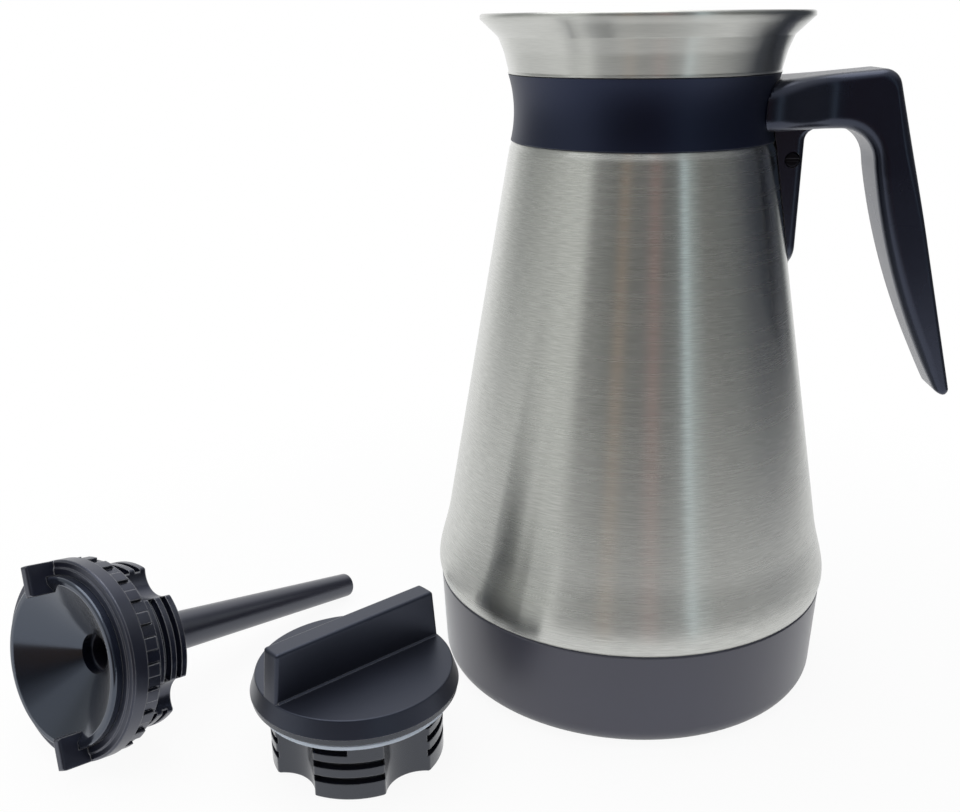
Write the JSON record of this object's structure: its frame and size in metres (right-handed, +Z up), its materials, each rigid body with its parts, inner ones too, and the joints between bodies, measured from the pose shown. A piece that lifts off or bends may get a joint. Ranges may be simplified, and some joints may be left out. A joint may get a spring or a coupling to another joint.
{
  "type": "thermal carafe",
  "caption": "Double-walled steel thermal carafe with flared mouth, black open handle and base cup, beside its closed twist lid and its funnel lid with a long mixing tube.",
  "frame": {"origin": "on the floor under the middle of the carafe's foot ring", "axes": "+Z up along the carafe's axis, +X from the axis towards the handle, so the two lids lie at -X and -Y"},
  "size_m": [0.3007, 0.1626, 0.216],
  "materials": {
    "brushed_shell": "brushed round",
    "brushed_mouth": "brushed round",
    "liner_steel": "satin",
    "strap_steel": "satin",
    "screw_steel": "blackened",
    "getter_metal": "matte",
    "solder": "satin",
    "band_plastic": "satin",
    "handle_plastic": "satin",
    "cup_plastic": "fine matte grain",
    "foot_rubber": "matte",
    "cap_plastic": "satin",
    "plug_plastic": "gloss",
    "bowl_plastic": "gloss",
    "tube_plastic": "soft gloss",
    "seal_silicone": "milky, smooth",
    "foam": "foam"
  },
  "bodies": {
    "carafe": {"outer_shell": "brushed_shell", "mouth_flare": "brushed_mouth", "inner_liner": "liner_steel", "flask_neck": "liner_steel", "liner_bottom": "liner_steel", "getter": "getter_metal", "shell_bottom": "liner_steel", "vacuum_seal": "solder", "collar_band": "band_plastic", "clamp_strap": "strap_steel", "handle": "handle_plastic", "clamp_screw": "screw_steel", "clamp_nut": "screw_steel", "base_cup": "cup_plastic", "foot_ring": "foot_rubber"},
    "twist_lid": {"twist_cap": "cap_plastic", "twist_plug": "plug_plastic", "twist_gasket": "seal_silicone", "twist_foam": "foam"},
    "brew_lid": {"brew_ring": "cap_plastic", "funnel_bowl": "bowl_plastic", "brew_plug": "plug_plastic", "mixing_tube": "tube_plastic"}
  },
  "joints": [
    {"name": "twist_lid_lift", "type": "slide", "parent": "carafe", "child": "twist_lid", "axis": [0, 0, 1], "range_m": [0, 0.06]},
    {"name": "brew_lid_lift", "type": "slide", "parent": "carafe", "child": "brew_lid", "axis": [0, 0, 1], "range_m": [0, 0.06]}
  ]
}
